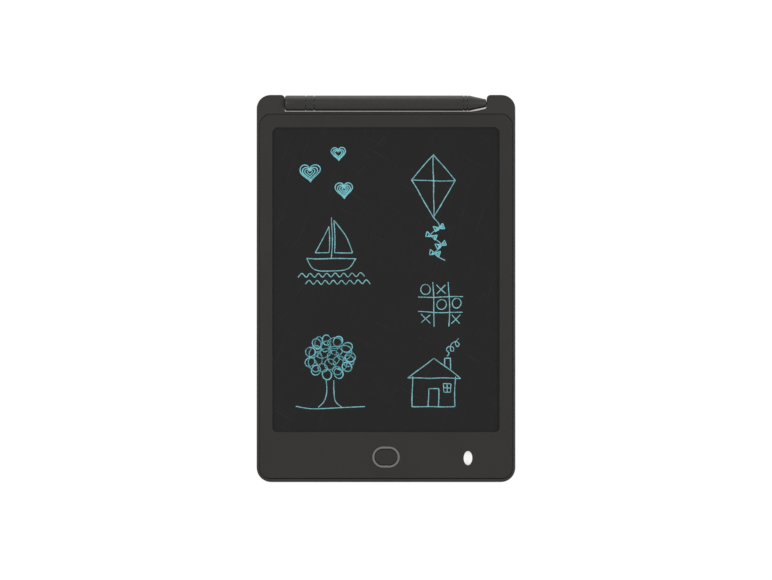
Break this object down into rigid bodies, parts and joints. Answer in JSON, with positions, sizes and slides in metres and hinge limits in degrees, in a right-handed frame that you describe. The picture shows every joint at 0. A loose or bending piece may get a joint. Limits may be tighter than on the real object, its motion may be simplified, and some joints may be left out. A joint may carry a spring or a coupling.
{
  "type": "lcd writing tablet",
  "caption": "Slim dark writing tablet with a recessed pressure-sensitive screen, an oval erase button, a lanyard hole, and a stylus held in a bay along its top edge.",
  "frame": {"origin": "middle of the rear face, under the middle of the box round the whole tablet", "axes": "+X across the tablet to the right as one writes on it, +Y up the page to the stylus edge, +Z out of the screen"},
  "size_m": [0.147, 0.22, 0.009],
  "materials": {
    "case": "fine moulded texture",
    "bezel": "fine moulded texture",
    "film": "satin hard-coated film",
    "backing": "matt black sheet",
    "tape": "black adhesive tape",
    "flex": "amber polyimide",
    "ring": "satin grey",
    "board": "green solder mask",
    "switch": "black moulded nylon",
    "plunger": "natural nylon",
    "steel": "nickel plated",
    "capacitor": "tan ceramic",
    "diode": "amber glass",
    "contact": "spring bronze",
    "stylus": "satin moulded",
    "nib": "smooth hard plastic"
  },
  "bodies": {
    "tablet": {"rear_case": "case", "front_bezel": "bezel", "writing_film": "film", "film_backing_sheet": "backing", "film_tape_frame": "tape", "film_flex_tail": "flex", "button_ring": "ring", "circuit_board": "board", "tact_switch_body": "switch", "lock_switch_body": "steel", "driver_chip": "switch", "boost_inductor": "switch", "tank_capacitor": "capacitor", "rectifier_diode": "diode", "board_screw_left": "steel", "board_screw_right": "steel", "coin_cell_can": "steel", "coin_cell_seal": "switch", "coin_cell_cap": "steel", "negative_contact": "contact", "positive_contact": "contact"},
    "erase_key": {"erase_button": "bezel"},
    "switch_plunger": {"tact_switch_plunger": "plunger"},
    "lock_knob": {"lock_slider": "case", "lock_switch_lever": "switch"},
    "battery_hatch": {"battery_door": "case", "battery_door_screw": "steel"},
    "stylus": {"stylus_tail_cap": "stylus", "stylus_tail_band": "stylus", "stylus_barrel": "stylus", "stylus_front_ring": "stylus", "stylus_nose": "stylus", "stylus_nib": "nib"}
  },
  "joints": [
    {"name": "erase_press", "type": "slide", "parent": "tablet", "child": "erase_key", "axis": [0, 0, -1], "range_m": [0, 0.0005], "stiffness_N_per_m": 1500},
    {"name": "plunger_press", "type": "slide", "parent": "tablet", "child": "switch_plunger", "axis": [0, 0, -1], "range_m": [0, 0.0005]},
    {"name": "lock_slide", "type": "slide", "parent": "tablet", "child": "lock_knob", "axis": [1, 0, 0], "range_m": [0, 0.0025]},
    {"name": "battery_door_swing", "type": "hinge", "parent": "tablet", "child": "battery_hatch", "pos_m": [-0.0484, -0.0957, 0.0002], "axis": [0, 1, 0], "range_deg": [0, 65]},
    {"name": "stylus_draw", "type": "slide", "parent": "tablet", "child": "stylus", "axis": [0, 1, 0], "range_m": [0, 0.025]}
  ],
  "couplings": [
    {"joint": "plunger_press", "follows": "erase_press", "ratio": 1}
  ]
}
